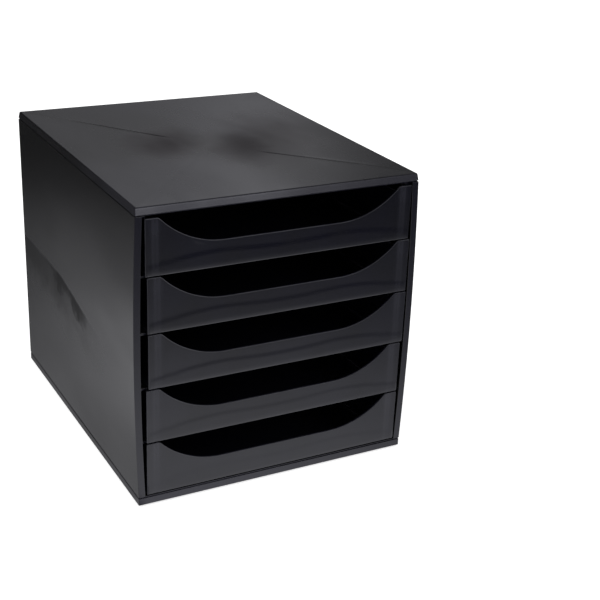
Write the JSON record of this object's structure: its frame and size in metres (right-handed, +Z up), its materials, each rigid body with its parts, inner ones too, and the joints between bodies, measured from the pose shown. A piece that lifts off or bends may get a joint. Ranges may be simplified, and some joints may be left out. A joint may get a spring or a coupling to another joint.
{
  "type": "letter tray stack with drawers",
  "caption": "Desktop letter drawer unit: a boxy case of clipped moulded panels with open-topped sliding trays, each pulled by a wide scoop in its front.",
  "frame": {"origin": "on the surface the unit stands on, below the middle of the case", "axes": "+X to the right and +Z up, seen from the front; the fronts face -Y and the drawers pull out along -Y"},
  "size_m": [0.29, 0.348, 0.2925],
  "materials": {
    "case_plastic": "black moulded polystyrene with a satin skin, faint sink lines and flow marks",
    "drawer_plastic": "black moulded polystyrene, smoother and a little glossier than the case",
    "foot_rubber": "matt black rubber"
  },
  "bodies": {
    "case": {"top_panel": "case_plastic", "bottom_panel": "case_plastic", "left_side_panel": "case_plastic", "right_side_panel": "case_plastic", "back_panel": "case_plastic", "foot_front_left": "foot_rubber", "foot_front_right": "foot_rubber", "foot_back_left": "foot_rubber", "foot_back_right": "foot_rubber"},
    "drawer_1_tray": {"drawer_1": "drawer_plastic"},
    "drawer_2_tray": {"drawer_2": "drawer_plastic"},
    "drawer_3_tray": {"drawer_3": "drawer_plastic"},
    "drawer_4_tray": {"drawer_4": "drawer_plastic"},
    "drawer_5_tray": {"drawer_5": "drawer_plastic"}
  },
  "joints": [
    {"name": "drawer_1_slide", "type": "slide", "parent": "case", "child": "drawer_1_tray", "axis": [0, -1, 0], "range_m": [0, 0.245]},
    {"name": "drawer_2_slide", "type": "slide", "parent": "case", "child": "drawer_2_tray", "axis": [0, -1, 0], "range_m": [0, 0.245]},
    {"name": "drawer_3_slide", "type": "slide", "parent": "case", "child": "drawer_3_tray", "axis": [0, -1, 0], "range_m": [0, 0.245]},
    {"name": "drawer_4_slide", "type": "slide", "parent": "case", "child": "drawer_4_tray", "axis": [0, -1, 0], "range_m": [0, 0.245]},
    {"name": "drawer_5_slide", "type": "slide", "parent": "case", "child": "drawer_5_tray", "axis": [0, -1, 0], "range_m": [0, 0.245]}
  ]
}
